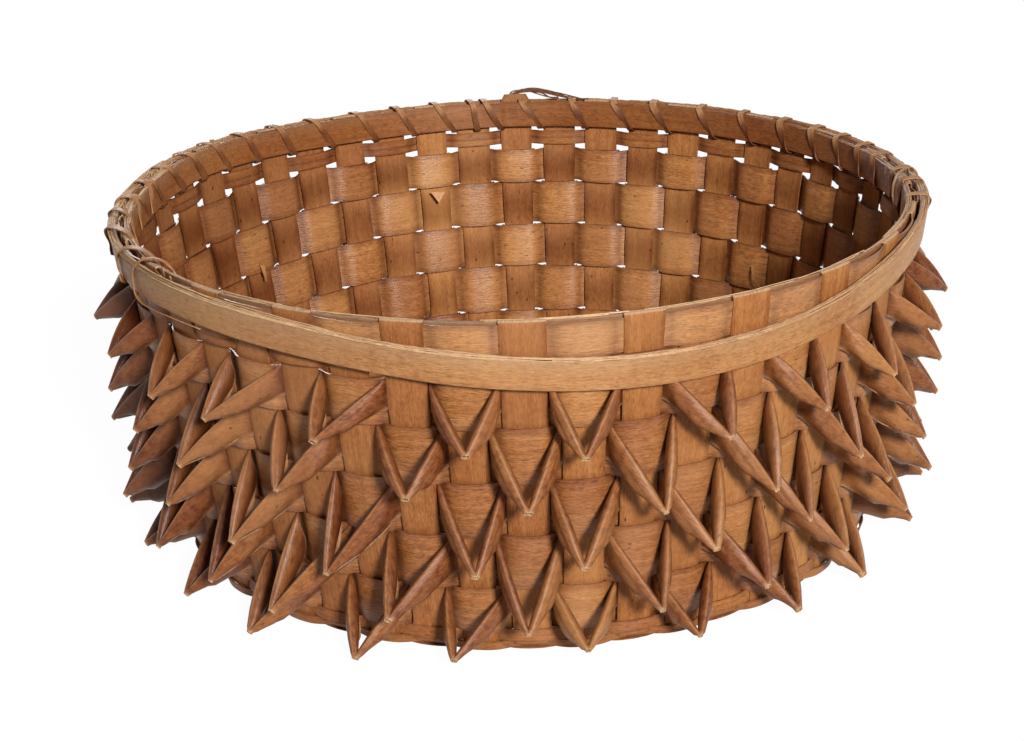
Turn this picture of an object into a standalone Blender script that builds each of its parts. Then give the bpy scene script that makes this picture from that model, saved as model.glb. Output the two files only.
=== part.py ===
"""Round, open ash splint basket with rows of curled points, in metres, standing on z = 0.

Twelve long splints cross at the base, part into two at both ends and turn up as the stakes of
the wall. Flat weavers go round them in and out, and over the five wide rows lies a second
splint that is curled to a point over every other stake. Two hoops and a liner clamp the top.
"""

import math

import bmesh
import bpy
from mathutils import Vector

# Whole basket
RIM_RADIUS = 0.180
RIM_HEIGHT = 0.145
FOOT_RADIUS = 0.156
FOOT_HEIGHT = 0.0095
FOOT_TURN = 0.0055
CLEARANCE = 0.0003

# Splints that make the stakes
SPLINTS = 12
STAKES = 4 * SPLINTS
STAKE_THICKNESS = 0.0007
STAKE_GAP = 0.0058
UNDERSIDE_WIDTH = 0.0085
WAIST_WIDTH = 0.0060
WAIST_GAP = 0.0022
CROSSING_RISE = 0.0025

# Wide rows and their curled points, top row first
ROWS = 5
ROW_HEADROOM = 0.0027
ROW_HEIGHT_SHARES = (0.162, 0.209, 0.206, 0.214, 0.209)
ROW_GAP = 0.0005
WEAVER_THICKNESS = 0.0007
POINT_REACH = 0.0250
POINT_SAG = 0.0075
POINT_REACH_SHARES = (0.86, 0.92, 1.0, 1.08, 1.06)
POINT_SAG_SHARES = (0.64, 0.94, 1.22, 1.17, 0.22)
CURL_WIDTH = 0.0076
TIP_WIDTH = 0.0028

# Narrow weavers under the rim and at the foot, and weavers of the base
NARROW_WEAVERS = 2
NARROW_HEIGHT = 0.0036
NARROW_GAP = 0.0008
NARROW_THICKNESS = 0.0006
FOOT_WEAVER_WIDTH = 0.0046
BASE_WEAVER_WIDTH = 0.0127
BASE_WEAVER_SHARES = (0.27, 0.77)

# Rim
HOOP_HEIGHT = 0.0125
INNER_HOOP_THICKNESS = 0.0026
LINER_THICKNESS = 0.0016
OUTER_HOOP_THICKNESS = 0.0018
HOOP_SETTLE = 0.0034
LINER_SHOWS = 0.0020
SLIP_CENTRE = math.radians(15)
SLIP_HALF_SPAN = math.radians(66)
LASHING_THICKNESS = 0.0005
LASHING_FIRST_GAP = 10
LASHING_LAST_GAP = 40
LASHING_SLANT_SHARE = 0.35

STEP = 2 * math.pi / STAKES
HALF_STAKE = STAKE_THICKNESS / 2
HALF_WEAVER = WEAVER_THICKNESS / 2

# Offsets from the middle of a stake's thickness, outward positive
ON_STAKE = HALF_STAKE + CLEARANCE + HALF_WEAVER
ON_OVERLAY = ON_STAKE + WEAVER_THICKNESS + CLEARANCE
NARROW_ON_STAKE = HALF_STAKE + CLEARANCE + NARROW_THICKNESS / 2
BAND_FACE = ON_STAKE + HALF_WEAVER
INNER_HOOP_OFFSET = -(BAND_FACE + CLEARANCE + INNER_HOOP_THICKNESS / 2)
LINER_OFFSET = BAND_FACE + CLEARANCE + LINER_THICKNESS / 2
OUTER_HOOP_OFFSET = LINER_OFFSET + CLEARANCE + (LINER_THICKNESS + OUTER_HOOP_THICKNESS) / 2
RIM_WALL_RADIUS = RIM_RADIUS - OUTER_HOOP_OFFSET - OUTER_HOOP_THICKNESS / 2

# Heights, from the rim down
STAKE_TOP = RIM_HEIGHT - HALF_STAKE
BAND_TOP = STAKE_TOP - HALF_STAKE - CLEARANCE
HOOP_BOTTOM = RIM_HEIGHT - HOOP_HEIGHT
LASHING_BOTTOM = HOOP_BOTTOM - CLEARANCE - LASHING_THICKNESS / 2
LASHING_TOP = RIM_HEIGHT + 2 * CLEARANCE + LASHING_THICKNESS / 2
NARROW_TOP = LASHING_BOTTOM - LASHING_THICKNESS / 2 - CLEARANCE
NARROW_BOTTOM = NARROW_TOP - NARROW_WEAVERS * (NARROW_HEIGHT + NARROW_GAP) + NARROW_GAP
ROW_TOP = NARROW_BOTTOM - ROW_HEADROOM
HOOP_SLIP = HOOP_BOTTOM - ROW_TOP + HOOP_SETTLE
LINER_SLIP = HOOP_SLIP - LINER_SHOWS

# The foot weaver that passes under the base touches the floor, and the stakes lie on it.
BASE_HEIGHT = NARROW_THICKNESS + CLEARANCE + HALF_STAKE
BASE_RADIUS = FOOT_RADIUS - FOOT_TURN
SPLIT_RADIUS = BASE_RADIUS - UNDERSIDE_WIDTH
CROSSING_RADIUS = (WAIST_WIDTH + WAIST_GAP) / (2 * math.tan(STEP))


def clear_scene():
    for obj in list(bpy.data.objects):
        bpy.data.objects.remove(obj, do_unlink=True)


def make_collection(name):
    collection = bpy.data.collections.new(name)
    bpy.context.scene.collection.children.link(collection)
    return collection


def make_material(name, colour, roughness):
    material = bpy.data.materials.new(name)
    material.use_nodes = True
    shader = material.node_tree.nodes["Principled BSDF"]
    shader.inputs["Base Color"].default_value = (*colour, 1.0)
    shader.inputs["Roughness"].default_value = roughness
    shader.inputs["Metallic"].default_value = 0.0
    return material


def add_object(name, mesh_data, material, collection):
    """Turns a bmesh into a named object with its material."""
    bmesh.ops.recalc_face_normals(mesh_data, faces=mesh_data.faces)
    mesh = bpy.data.meshes.new(name)
    mesh_data.to_mesh(mesh)
    mesh_data.free()
    mesh.materials.append(material)
    obj = bpy.data.objects.new(name, mesh)
    collection.objects.link(obj)
    return obj


def give_thickness(obj, thickness):
    """A splint is a bent sheet: half of its thickness lies on each side."""
    solid = obj.modifiers.new("thickness", "SOLIDIFY")
    solid.thickness = thickness
    solid.offset = 0.0
    solid.use_even_offset = True
    obj.data.shade_smooth()
    obj.modifiers.new("flat_edges", "WEIGHTED_NORMAL")


def place(angle, radius, along, height):
    """A point at a radius and an angle from the front, -Y, towards +X, moved along the tangent."""
    out = Vector((math.sin(angle), -math.cos(angle), 0.0))
    tangent = Vector((-out.y, out.x, 0.0))
    return out * radius + tangent * along + Vector((0.0, 0.0, height))


def pitch_at(radius):
    """Distance between the middles of neighbouring stakes."""
    return 2 * radius * math.tan(STEP / 2)


def stake_half_width(radius):
    return (pitch_at(radius) - STAKE_GAP) / 2


class Stretch:
    """A straight stretch of a stake's profile, from one radius and height to another."""

    def __init__(self, start, end):
        self.start = Vector(start)
        self.end = Vector(end)
        self.length = (self.end - self.start).length
        direction = (self.end - self.start) / self.length
        self.outward = Vector((-direction.y, direction.x))

    def at(self, share, offset):
        """Radius and height at a share of the stretch, moved outward."""
        return self.start.lerp(self.end, share) + self.outward * offset


WALL = Stretch((RIM_WALL_RADIUS, RIM_HEIGHT), (FOOT_RADIUS, FOOT_HEIGHT))
TURN = Stretch((FOOT_RADIUS, FOOT_HEIGHT), (BASE_RADIUS, BASE_HEIGHT))
UNDERSIDE = Stretch((BASE_RADIUS, BASE_HEIGHT), (SPLIT_RADIUS, BASE_HEIGHT))


def on_wall(height, offset):
    """Radius and height of a point at a distance from the wall, level with a point on it."""
    rise = RIM_HEIGHT - FOOT_HEIGHT
    spot = WALL.at((RIM_HEIGHT - height) / rise, 0.0)
    spot.x += offset * WALL.length / rise
    return spot


def row_span(row):
    """Bottom and top height of a wide row."""
    rows_height = ROW_TOP - FOOT_HEIGHT
    top = ROW_TOP - sum(ROW_HEIGHT_SHARES[:row]) * rows_height
    return top - ROW_HEIGHT_SHARES[row] * rows_height + ROW_GAP, top


def closed_band(lower, upper):
    """A closed band between two loops with as many points."""
    band = bmesh.new()
    edges = []
    for loop in (lower, upper):
        ring = [band.verts.new(point) for point in loop]
        edges += [band.edges.new((ring[i - 1], ring[i])) for i in range(len(ring))]
    bmesh.ops.bridge_loops(band, edges=edges)
    return band


def flat_passes(outside_spot, inside_spot, first_outside):
    """One edge of a weaver that lies flat on every stake, in turn outside and inside."""
    points = []
    for stake in range(STAKES):
        spot = outside_spot if stake % 2 == first_outside else inside_spot
        half = stake_half_width(spot.x) + CLEARANCE
        for side in (-1, 1):
            points.append(place(stake * STEP, spot.x, side * half, spot.y))
    return points


def bulging_passes(stretch, share, offset, first_outside):
    """The same for a narrow weaver, which bends once behind a stake, just clear of its edges."""
    outside_spot = stretch.at(share, offset)
    half = stake_half_width(outside_spot.x) + CLEARANCE
    gap = pitch_at(outside_spot.x) - 2 * half
    inside_spot = stretch.at(share, -offset * (1 + 2 * half / gap))
    points = []
    for stake in range(STAKES):
        if stake % 2 == first_outside:
            for side in (-1, 1):
                points.append(place(stake * STEP, outside_spot.x, side * half, outside_spot.y))
        else:
            points.append(place(stake * STEP, inside_spot.x, 0.0, inside_spot.y))
    return points


def build_wide_weaver(row, material, collection):
    """Where it passes inside a stake, the curled splint lies between the two."""
    loops = []
    for height in row_span(row):
        spots = (on_wall(height, ON_STAKE), on_wall(height, -ON_OVERLAY))
        loops.append(flat_passes(*spots, (row + 1) % 2))
    obj = add_object(f"wide_weaver_{row + 1}", closed_band(*loops), material, collection)
    give_thickness(obj, WEAVER_THICKNESS)


def build_top_band(material, collection):
    loops = []
    for height in (HOOP_BOTTOM, BAND_TOP):
        spots = (on_wall(height, ON_STAKE), on_wall(height, -ON_STAKE))
        loops.append(flat_passes(*spots, 1))
    obj = add_object("top_band", closed_band(*loops), material, collection)
    give_thickness(obj, WEAVER_THICKNESS)


def build_narrow_weaver(name, stretch, middle, width, first_outside, material, collection):
    """A narrow weaver laid along a stretch of the profile, its middle at a distance from the start."""
    loops = []
    for distance in (middle - width / 2, middle + width / 2):
        share = distance / stretch.length
        loops.append(bulging_passes(stretch, share, NARROW_ON_STAKE, first_outside))
    obj = add_object(name, closed_band(*loops), material, collection)
    give_thickness(obj, NARROW_THICKNESS)


def build_narrow_weavers(material, collection):
    slope = WALL.length / (RIM_HEIGHT - FOOT_HEIGHT)
    for index in range(NARROW_WEAVERS):
        top = NARROW_TOP - index * (NARROW_HEIGHT + NARROW_GAP)
        middle = (RIM_HEIGHT - top + NARROW_HEIGHT / 2) * slope
        name = f"narrow_weaver_{index + 1}"
        build_narrow_weaver(name, WALL, middle, NARROW_HEIGHT, 0, material, collection)
    for name, stretch, first_outside in (("turn", TURN, 0), ("underside", UNDERSIDE, 1)):
        middle = stretch.length / 2
        size = FOOT_WEAVER_WIDTH
        build_narrow_weaver(f"foot_weaver_{name}", stretch, middle, size, first_outside, material, collection)


def crossing_height(splint):
    """Height of a splint at the centre: neighbours lie two layers apart, up one side and down the other."""
    layer = 2 * splint if 2 * splint < SPLINTS else 2 * (SPLINTS - splint) - 1
    return BASE_HEIGHT + CROSSING_RISE + layer * (STAKE_THICKNESS + CLEARANCE)


def base_share(radius):
    """How far a radius lies from the crossing towards the parting of the splints."""
    return (radius - CROSSING_RADIUS) / (SPLIT_RADIUS - CROSSING_RADIUS)


def base_height(splint, radius):
    low = base_share(radius)
    return BASE_HEIGHT * low + crossing_height(splint) * (1 - low)


def splint_half_width(radius):
    wide = base_share(radius)
    return (pitch_at(SPLIT_RADIUS) - STAKE_GAP / 2) * wide + WAIST_WIDTH / 2 * (1 - wide)


def end_angle(end):
    """Middle of a splint's end, which lies between its two stakes."""
    return (2 * end + 0.5) * STEP


def build_base_weavers(material, collection):
    for index, share in enumerate(BASE_WEAVER_SHARES):
        middle = CROSSING_RADIUS + share * (SPLIT_RADIUS - CROSSING_RADIUS)
        loops = []
        for radius in (middle - BASE_WEAVER_WIDTH / 2, middle + BASE_WEAVER_WIDTH / 2):
            loop = []
            for end in range(2 * SPLINTS):
                offset = ON_STAKE if (end + index) % 2 else -ON_STAKE
                height = base_height(end % SPLINTS, radius) + offset
                half = splint_half_width(radius) + CLEARANCE
                for side in (-1, 1):
                    loop.append(place(end_angle(end), radius, side * half, height))
            loops.append(loop)
        obj = add_object(f"base_weaver_{index + 1}", closed_band(*loops), material, collection)
        give_thickness(obj, WEAVER_THICKNESS)


def stake_sections(stake):
    """Left and right edge of a stake from its top to where it parts from its neighbour.

    Every other stake reaches to the rim's height and is bent inward over the top band.
    """
    if stake % 2 == 0:
        profile = [on_wall(STAKE_TOP, -BAND_FACE), on_wall(STAKE_TOP, 0.0)]
    else:
        profile = [on_wall(BAND_TOP, 0.0)]
    profile += [WALL.end, TURN.end, UNDERSIDE.end]
    sections = []
    for radius, height in profile:
        half = stake_half_width(radius)
        sections.append([place(stake * STEP, radius, side * half, height) for side in (-1, 1)])
    return sections


def build_stake_splint(splint, material, collection):
    """One splint: a waist at the crossing, and two stakes at each end."""
    sheet = bmesh.new()
    waist = []
    for end in (splint, splint + SPLINTS):
        corners = []
        for stake in (2 * end, 2 * end + 1):
            sections = stake_sections(stake)
            previous = [sheet.verts.new(point) for point in sections[0]]
            for section in sections[1:]:
                current = [sheet.verts.new(point) for point in section]
                sheet.faces.new((previous[0], previous[1], current[1], current[0]))
                previous = current
            corners += previous
        height = crossing_height(splint)
        for side in (1, -1):
            point = place(end_angle(end), CROSSING_RADIUS, side * WAIST_WIDTH / 2, height)
            corners.append(sheet.verts.new(point))
        waist += corners[-1:-3:-1]
        sheet.faces.new(corners[:2] + corners[-1:])
        sheet.faces.new(corners[1:3] + corners[-2:])
        sheet.faces.new(corners[2:5])
    sheet.faces.new(waist)
    obj = add_object(f"stake_splint_{splint + 1:02d}", sheet, material, collection)
    give_thickness(obj, STAKE_THICKNESS)


def limb_section(angle, radius, width, ridge, edge):
    """Three corners of a rolled limb that stands in the plane of one angle."""
    corners = ((width / 2, ridge), (-width / 2, ridge), (0.0, edge))
    return [place(angle, radius + out, 0.0, height) for out, height in corners]


def curl_sections(row, stake):
    """Cross sections of the curled splint from behind one stake to behind the next but one.

    It leaves the stake's edge at its full height, is rolled together on its way out to the
    point over the stake between, and opens again on its way back.
    """
    bottom, top = row_span(row)
    edge = bottom + ROW_GAP
    half = stake_half_width(on_wall(top, 0.0).x) + CLEARANCE
    flats = []
    for side in (-1, 1):
        section = []
        for height, face in ((top, 1), (top, -1), (edge, -1), (edge, 1)):
            spot = on_wall(height, face * HALF_WEAVER - ON_STAKE)
            section.append(place(stake * STEP, spot.x, side * half, spot.y))
        flats.append(section)

    tip_height = bottom - POINT_SAG * POINT_SAG_SHARES[row]
    tip_radius = on_wall(tip_height, POINT_REACH * POINT_REACH_SHARES[row]).x - TIP_WIDTH / 2
    root_radius = on_wall(top, -ON_STAKE).x
    middle_radius = (root_radius + tip_radius) / 2
    middle_turn = (half / pitch_at(root_radius) + 1) / 2 * STEP
    rolled = (middle_radius, CURL_WIDTH, (top + tip_height) / 2, (edge + tip_height) / 2)
    point = (tip_radius, TIP_WIDTH, tip_height + TIP_WIDTH / 2, tip_height - TIP_WIDTH / 2)
    start = stake * STEP
    out = limb_section(start + middle_turn, *rolled)
    tip = limb_section(start + STEP, *point)
    back = limb_section(start + 2 * STEP - middle_turn, *rolled)
    return flats + [out, tip, back]


def join_sections(loft, first, second):
    """Joins two cross sections of four or three corners, both from the outer top corner on."""
    if len(first) == len(second):
        for i in range(len(first)):
            loft.faces.new((first[i - 1], second[i - 1], second[i], first[i]))
        return
    four, three = (first, second) if len(first) == 4 else (second, first)
    loft.faces.new((four[0], three[0], three[1], four[1]))
    loft.faces.new((four[1], three[1], three[2], four[2]))
    loft.faces.new((four[2], three[2], four[3]))
    loft.faces.new((four[3], three[2], three[0], four[0]))


def build_curled_overlay(row, material, collection):
    """A loft round the basket between the flat and the rolled sections."""
    loft = bmesh.new()
    sections = []
    for stake in range(row % 2, STAKES, 2):
        for section in curl_sections(row, stake):
            sections.append([loft.verts.new(point) for point in section])
    for index, section in enumerate(sections):
        join_sections(loft, sections[index - 1], section)
    add_object(f"curled_overlay_{row + 1}", loft, material, collection)


def slip_share(angle):
    """Share of its slip that an outer hoop has slid down at an angle, where the lashing is lost."""
    turn = (angle - SLIP_CENTRE + math.pi) % (2 * math.pi) - math.pi
    if abs(turn) >= SLIP_HALF_SPAN:
        return 0.0
    return math.cos(turn / SLIP_HALF_SPAN * math.pi / 2) ** 2


def build_hoop(name, offset, thickness, slip, material, collection):
    """A flat splint bent to a ring, with one facet on each stake."""
    loops = []
    for height in (HOOP_BOTTOM, RIM_HEIGHT):
        loop = []
        for stake in range(STAKES):
            angle = (stake + 0.5) * STEP
            level = height - slip * slip_share(angle)
            radius = on_wall(level, offset).x / math.cos(STEP / 2)
            loop.append(place(angle, radius, 0.0, level))
        loops.append(loop)
    obj = add_object(name, closed_band(*loops), material, collection)
    give_thickness(obj, thickness)


def build_lashing(material, collection):
    """A narrow splint wound round the rim, once in each gap between stakes."""
    half = STAKE_GAP / 2 - 3 * CLEARANCE
    grip = CLEARANCE + LASHING_THICKNESS / 2
    inside = INNER_HOOP_OFFSET - INNER_HOOP_THICKNESS / 2 - grip
    outside = OUTER_HOOP_OFFSET + OUTER_HOOP_THICKNESS / 2 + grip
    low_inside = on_wall(LASHING_BOTTOM, inside).x
    high_inside = on_wall(LASHING_TOP, inside).x
    low_outside = on_wall(LASHING_BOTTOM, outside).x / math.cos(STEP / 2)
    high_outside = on_wall(LASHING_TOP, outside).x / math.cos(STEP / 2)
    route = []
    for gap in range(LASHING_FIRST_GAP, LASHING_LAST_GAP):
        foot = (gap + 0.5) * STEP
        top = foot + LASHING_SLANT_SHARE * STEP
        route.append((foot, low_inside, LASHING_BOTTOM))
        route.append((top, high_inside, LASHING_TOP))
        route.append((top, high_outside, LASHING_TOP))
        route.append((foot + STEP, low_outside, LASHING_BOTTOM))
    strip = bmesh.new()
    sections = []
    for angle, radius, height in route:
        sections.append([strip.verts.new(place(angle, radius, side * half, height)) for side in (-1, 1)])
    for first, second in zip(sections, sections[1:]):
        strip.faces.new((first[0], first[1], second[1], second[0]))
    obj = add_object("rim_lashing", strip, material, collection)
    give_thickness(obj, LASHING_THICKNESS)


def main():
    clear_scene()
    basket = make_collection("ash_splint_basket")
    stake_ash = make_material("stake_ash", (0.46, 0.22, 0.085), 0.55)
    weaver_ash = make_material("weaver_ash", (0.50, 0.25, 0.10), 0.45)
    curl_ash = make_material("curl_ash", (0.42, 0.18, 0.065), 0.5)
    narrow_ash = make_material("narrow_ash", (0.40, 0.19, 0.075), 0.55)
    hoop_ash = make_material("hoop_ash", (0.56, 0.31, 0.14), 0.5)
    liner_ash = make_material("liner_ash", (0.40, 0.18, 0.07), 0.55)
    lashing_ash = make_material("lashing_ash", (0.52, 0.28, 0.12), 0.5)

    for splint in range(SPLINTS):
        build_stake_splint(splint, stake_ash, basket)
    build_base_weavers(narrow_ash, basket)
    build_narrow_weavers(narrow_ash, basket)
    for row in range(ROWS):
        build_wide_weaver(row, weaver_ash, basket)
        build_curled_overlay(row, curl_ash, basket)
    build_top_band(weaver_ash, basket)
    build_hoop("inner_hoop", INNER_HOOP_OFFSET, INNER_HOOP_THICKNESS, 0.0, hoop_ash, basket)
    build_hoop("outer_hoop_liner", LINER_OFFSET, LINER_THICKNESS, LINER_SLIP, liner_ash, basket)
    build_hoop("outer_hoop", OUTER_HOOP_OFFSET, OUTER_HOOP_THICKNESS, HOOP_SLIP, hoop_ash, basket)
    build_lashing(lashing_ash, basket)


main()
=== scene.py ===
import math
import random

import bmesh
import bpy
import numpy as np
from mathutils import Matrix, Vector


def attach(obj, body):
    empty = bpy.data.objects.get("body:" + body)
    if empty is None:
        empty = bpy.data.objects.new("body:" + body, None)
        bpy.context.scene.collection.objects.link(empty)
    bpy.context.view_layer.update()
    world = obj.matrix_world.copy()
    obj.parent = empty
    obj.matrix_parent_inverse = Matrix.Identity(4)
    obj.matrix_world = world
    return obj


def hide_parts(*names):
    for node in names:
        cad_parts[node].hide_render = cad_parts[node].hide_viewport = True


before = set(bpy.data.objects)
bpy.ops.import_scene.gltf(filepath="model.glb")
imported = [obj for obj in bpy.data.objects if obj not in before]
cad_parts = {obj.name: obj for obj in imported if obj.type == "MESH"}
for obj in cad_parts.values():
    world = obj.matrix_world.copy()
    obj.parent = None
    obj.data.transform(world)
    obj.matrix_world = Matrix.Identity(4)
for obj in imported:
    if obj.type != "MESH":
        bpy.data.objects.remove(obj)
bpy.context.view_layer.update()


# ---------------------------------------------------------------- camera
# The camera stands where the photograph was taken from: about 0.9 m away and
# 16 degrees above the rim, rolled by two degrees.
camera_data = bpy.data.cameras.new("photo_camera")
camera_data.sensor_width = 36.0
camera_data.lens = 72.75
camera_data.shift_x = -0.0114
camera_data.shift_y = -0.0023
camera_data.clip_start = 0.02
camera = bpy.data.objects.new("photo_camera", camera_data)
pitch = math.radians(20.70)
roll = math.radians(-1.96)
forward = Vector((0.0, math.cos(pitch), -math.sin(pitch)))
level = Vector((1.0, 0.0, 0.0))
above = level.cross(forward)
right = level * math.cos(roll) + above * math.sin(roll)
upward = above * math.cos(roll) - level * math.sin(roll)
facing = Matrix((right, upward, -forward)).transposed().to_4x4()
camera.matrix_world = Matrix.Translation((0.0, -0.8894, 0.3975)) @ facing
bpy.context.collection.objects.link(camera)
scene = bpy.context.scene
scene.camera = camera
scene.view_settings.view_transform = "Standard"


# ---------------------------------------------------------------- light and floor
# Soft studio light: a lamp at the front right, weaker ones at the left, above
# and behind, and a plain sky. The floor is pale and keeps the basket's shadow.
def node(tree, kind, *inputs, **settings):
    made = tree.nodes.new(kind)
    for key, value in settings.items():
        setattr(made, key, value)
    for socket, value in inputs:
        if isinstance(value, bpy.types.NodeSocket):
            tree.links.new(value, made.inputs[socket])
        else:
            made.inputs[socket].default_value = value
    return made


def math_node(tree, operation, first, second):
    return node(tree, "ShaderNodeMath", (0, first), (1, second), operation=operation).outputs[0]


def seen_directly(tree):
    path = node(tree, "ShaderNodeLightPath")
    shiny = math_node(tree, "MAXIMUM", path.outputs["Is Glossy Ray"], path.outputs["Is Transmission Ray"])
    return math_node(tree, "MAXIMUM", path.outputs["Is Camera Ray"], shiny)


world = bpy.data.worlds.new("studio")
world.use_nodes = True
scene.world = world
sky = world.node_tree
sky.nodes["Background"].inputs["Color"].default_value = (1.0, 0.98, 0.95, 1.0)
sky.nodes["Background"].inputs["Strength"].default_value = 0.04
white = node(sky, "ShaderNodeBackground", ("Color", (1.0, 1.0, 1.0, 1.0)), ("Strength", 1.0))
either = node(sky, "ShaderNodeMixShader", (0, seen_directly(sky)))
sky.links.new(sky.nodes["Background"].outputs[0], either.inputs[1])
sky.links.new(white.outputs[0], either.inputs[2])
sky.links.new(either.outputs[0], sky.nodes["World Output"].inputs["Surface"])

basket_middle = Vector((0.0, 0.0, 0.07))
for lamp_name, place, size, power in (
    ("key_lamp", (0.95, -3.10, 1.65), 0.55, 156.0),
    ("fill_lamp", (-0.9, -2.4, 1.0), 1.0, 2.0),
    ("top_lamp", (0.0, 0.5, 1.9), 1.0, 2.5),
    ("back_lamp", (-0.7, 3.0, 1.3), 0.9, 34.0),
):
    lamp_data = bpy.data.lights.new(lamp_name, "AREA")
    lamp_data.size = size
    lamp_data.energy = power
    lamp = bpy.data.objects.new(lamp_name, lamp_data)
    lamp.location = place
    lamp.rotation_euler = (basket_middle - Vector(place)).to_track_quat("-Z", "Y").to_euler()
    bpy.context.collection.objects.link(lamp)

floor_mesh = bpy.data.meshes.new("floor")
floor_bm = bmesh.new()
bmesh.ops.create_grid(floor_bm, x_segments=8, y_segments=8, size=6.0)
floor_bm.to_mesh(floor_mesh)
floor_bm.free()
floor = bpy.data.objects.new("floor", floor_mesh)
floor_paint = bpy.data.materials.new("floor_paint")
floor_paint.use_nodes = True
tree = floor_paint.node_tree
shader = tree.nodes["Principled BSDF"]
shader.inputs["Base Color"].default_value = (0.40, 0.40, 0.40, 1.0)
shader.inputs["Roughness"].default_value = 0.9
shader.inputs["Specular IOR Level"].default_value = 0.0
glow = node(tree, "ShaderNodeEmission", ("Color", (1.0, 1.0, 1.0, 1.0)), ("Strength", 1.15))
share = math_node(tree, "MULTIPLY", seen_directly(tree), 0.84)
either = node(tree, "ShaderNodeMixShader", (0, share), (1, shader.outputs[0]), (2, glow.outputs[0]))
tree.links.new(either.outputs[0], tree.nodes["Material Output"].inputs["Surface"])
floor_mesh.materials.append(floor_paint)
bpy.context.collection.objects.link(floor)


# ---------------------------------------------------------------- stakes
# Forty-eight flat standards of pounded ash, four to each splint that crosses
# the base. They are bent up at the foot, and every other one is folded
# inward over the band at the rim.
STEP = 2 * math.pi / 48
MM = 0.001
WALL_FOOT, WALL_RISE = 9.5 * MM, 135.5 * MM
FOOT_RADIUS, WALL_FLARE = 156.0 * MM, 18.65 * MM
LEAN_FACTOR = 1.0095  # a step out from the leaning wall, measured level
MEAN_RADIUS = 170.0 * MM  # turns a shift along the wall into an angle
UNDERSIDE = 1.25 * MM
CROSSING, ARM_END = 31.1 * MM, 142.0 * MM


def bell(value, middle, width):
    """1 at the middle, and less and less on both sides of it."""
    return np.exp(-((value - middle) / width) ** 2)


def ripple(angle, seed, terms=(3, 5, 8, 13)):
    """A smooth random wave round the basket, from about -1 to 1."""
    chance = random.Random(seed)
    return sum(np.sin(k * angle + chance.uniform(0, 6.283)) * chance.uniform(0.3, 0.6) for k in terms)


def up_wall(z):
    """From 0 at the foot of the wall to 1 at the rim."""
    return (z - WALL_FOOT) / WALL_RISE


def wall_radius(z):
    return FOOT_RADIUS + WALL_FLARE * up_wall(z)


def out_of_round(angle):
    return 0.35 * MM * ripple(angle, 7, (2, 3, 5))


def lift(angle, z):
    """The rim stands a little higher behind the left side."""
    turn = (angle + math.radians(118) + math.pi) % (2 * math.pi) - math.pi
    return 3.6 * MM * bell(turn, 0, np.where(turn > 0, 0.28, 0.36)) * np.clip((z - 0.100) / 0.035, 0, 1)


def around(angle, radius, z):
    """Points at an angle, which is 0 at the front and grows to the right."""
    angle, radius, z = np.broadcast_arrays(angle, radius, z)
    return np.stack((np.sin(angle) * radius, -np.cos(angle) * radius, z), axis=-1)


def on_wall(angle, z, offset):
    """Points on the wall, moved outward."""
    angle, z, offset = np.broadcast_arrays(angle, z, offset)
    radius = wall_radius(z) + offset * LEAN_FACTOR + out_of_round(angle)
    return around(angle, radius, z + lift(angle, z))


class Sheets:
    """Bent sheets of wood that make one piece, each a grid of points along and across."""

    def __init__(self):
        self.points, self.faces, self.maps = [], [], []
        # Per point: a tone, wear that also holds painted highlights, and dirt that also holds painted shade.
        self.across, self.tone, self.worn, self.dirt_and_shade = [], [], [], []
        self.count = 0

    def add(self, grid, u, v, across, tone=0.0, worn=0.0, dirt_and_shade=0.0):
        n, m = grid.shape[:2]
        self.points.append(grid.reshape(-1, 3))
        self.maps.append(np.stack((np.broadcast_to(u, (n, m)), np.broadcast_to(v, (n, m))), -1).reshape(-1, 2))
        for values, into in ((across, self.across), (tone, self.tone), (worn, self.worn), (dirt_and_shade, self.dirt_and_shade)):
            into.append(np.broadcast_to(values, (n, m)).reshape(-1))
        corner = self.count + (np.arange(n - 1)[:, None] * m + np.arange(m - 1)).reshape(-1)
        self.faces.append(np.stack((corner, corner + m, corner + m + 1, corner + 1), -1))
        self.count += n * m

    def piece(self, name, material, thickness, slot, *nodes, split=40):
        mesh = bpy.data.meshes.new(name)
        faces = np.concatenate(self.faces)
        mesh.from_pydata(np.concatenate(self.points).tolist(), [], faces.tolist())
        layer = mesh.uv_layers.new(name="strip")
        layer.data.foreach_set("uv", np.concatenate(self.maps)[faces.reshape(-1)].reshape(-1))
        for label, values in (("across", self.across), ("tone", self.tone), ("worn", self.worn), ("dirt_and_shade", self.dirt_and_shade)):
            mesh.attributes.new(label, "FLOAT", "POINT").data.foreach_set("value", np.concatenate(values))
        welded = bmesh.new()
        welded.from_mesh(mesh)
        bmesh.ops.remove_doubles(welded, verts=welded.verts, dist=2e-6)
        bmesh.ops.recalc_face_normals(welded, faces=welded.faces)
        welded.to_mesh(mesh)
        welded.free()
        mesh.shade_smooth()
        mesh.materials.append(material)
        obj = bpy.data.objects.new(name, mesh)
        bpy.context.collection.objects.link(obj)
        if thickness:
            solid = obj.modifiers.new("thickness", "SOLIDIFY")
            solid.thickness = thickness
            solid.offset = 0.0
        crisp = obj.modifiers.new("crisp_edges", "EDGE_SPLIT")
        crisp.split_angle = math.radians(split)
        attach(obj, "root")
        if nodes:
            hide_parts(*nodes)
        return obj


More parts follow.
